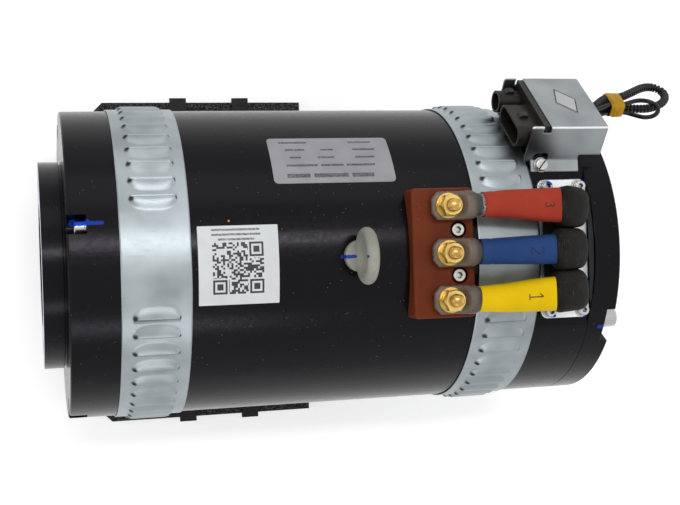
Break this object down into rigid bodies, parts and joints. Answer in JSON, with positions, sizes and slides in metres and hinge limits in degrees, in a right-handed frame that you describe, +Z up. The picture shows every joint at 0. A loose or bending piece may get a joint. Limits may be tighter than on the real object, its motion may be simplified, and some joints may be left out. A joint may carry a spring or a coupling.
{
  "type": "hydraulic pump motor",
  "caption": "Foot-mounted three-phase induction motor for a hydraulic pump: black cylindrical housing, louvred air bands, stud terminals and a splined drive socket.",
  "frame": {"origin": "on the shaft axis at the pump mounting face, the mouth of the pump pilot", "axes": "+X along the shaft away from the pump, +Z up to the terminals, +Y completes the right hand"},
  "size_m": [0.4444, 0.25, 0.25],
  "materials": {
    "black_paint": "satin black paint",
    "galvanised_sheet": "galvanised sheet",
    "zinc_screws": "zinc plated",
    "zinc_sheet": "zinc plated sheet",
    "cast_eye": "forged and galvanised",
    "block_resin": "moulded resin",
    "terminal_brass": "bright brass",
    "tinned_lug": "tinned copper",
    "clear_shrink": "clear heat shrink",
    "red_sleeve": "satin",
    "blue_sleeve": "satin",
    "yellow_sleeve": "satin",
    "black_braid": "braided",
    "black_rubber": "matt",
    "black_plastic": "fine texture",
    "tape": "satin",
    "label": "satin film",
    "foot_paint": "matt black",
    "shaft_steel": "ground",
    "laminations": "stacked sheet",
    "cast_aluminium": "cast",
    "fan_plastic": "cast",
    "winding": "varnished copper wire"
  },
  "bodies": {
    "housing": {"band_clamp_screws": "zinc_screws", "bearing_outer_rings": "shaft_steel", "blue_sleeve": "blue_sleeve", "bracket_screws": "zinc_screws", "cable_grommets": "black_rubber", "cable_lugs": "tinned_lug", "code_label": "label", "connector_bracket": "zinc_sheet", "connector_pins": "shaft_steel", "drive_end_shield": "black_paint", "drive_shield_bolts": "zinc_screws", "eye_bolt": "cast_eye", "foot_bolts": "zinc_screws", "foot_pad": "black_rubber", "foot_plate": "foot_paint", "foot_ribs": "foot_paint", "front_louvre_band": "galvanised_sheet", "gland_gasket": "black_rubber", "gland_plate": "zinc_sheet", "gland_screws": "zinc_screws", "harness_boot": "black_rubber", "harness_conduit": "black_plastic", "harness_lead": "black_plastic", "harness_tape": "tape", "lug_shrink_covers": "clear_shrink", "mark_label": "label", "oblong_connector": "black_plastic", "phase_cable_1": "black_braid", "phase_cable_2": "black_braid", "phase_cable_3": "black_braid", "pump_boss": "black_paint", "rating_plate": "label", "rear_bolts": "zinc_screws", "rear_cover": "black_paint", "rear_end_shield": "black_paint", "rear_louvre_band": "galvanised_sheet", "red_sleeve": "red_sleeve", "round_connector": "black_plastic", "shaft_seal": "black_rubber", "speed_sensor": "black_plastic", "stator_core": "laminations", "stator_frame": "black_paint", "stator_winding": "winding", "terminal_block": "block_resin", "terminal_block_screws": "zinc_screws", "terminal_nuts": "terminal_brass", "terminal_studs": "terminal_brass", "terminal_washers": "terminal_brass", "wave_spring": "shaft_steel", "yellow_sleeve": "yellow_sleeve"},
    "rotor": {"shaft": "shaft_steel", "rotor_core": "laminations", "rotor_cage": "cast_aluminium", "cooling_fan": "fan_plastic", "bearing_inner_rings": "shaft_steel", "encoder_wheel": "shaft_steel"},
    "front_cage_set": {"front_balls": "shaft_steel", "front_cage": "black_plastic"},
    "rear_cage_set": {"rear_balls": "shaft_steel", "rear_cage": "black_plastic"}
  },
  "joints": [
    {"name": "rotor_spin", "type": "hinge", "parent": "housing", "child": "rotor", "pos_m": [0.1, 0, 0], "axis": [1, 0, 0], "continuous": true},
    {"name": "front_cage_spin", "type": "hinge", "parent": "housing", "child": "front_cage_set", "pos_m": [0.0365, 0, 0], "axis": [1, 0, 0], "continuous": true},
    {"name": "rear_cage_spin", "type": "hinge", "parent": "housing", "child": "rear_cage_set", "pos_m": [0.3225, 0, 0], "axis": [1, 0, 0], "continuous": true}
  ],
  "couplings": [
    {"joint": "front_cage_spin", "follows": "rotor_spin", "ratio": 0.3965},
    {"joint": "rear_cage_spin", "follows": "rotor_spin", "ratio": 0.3965}
  ]
}
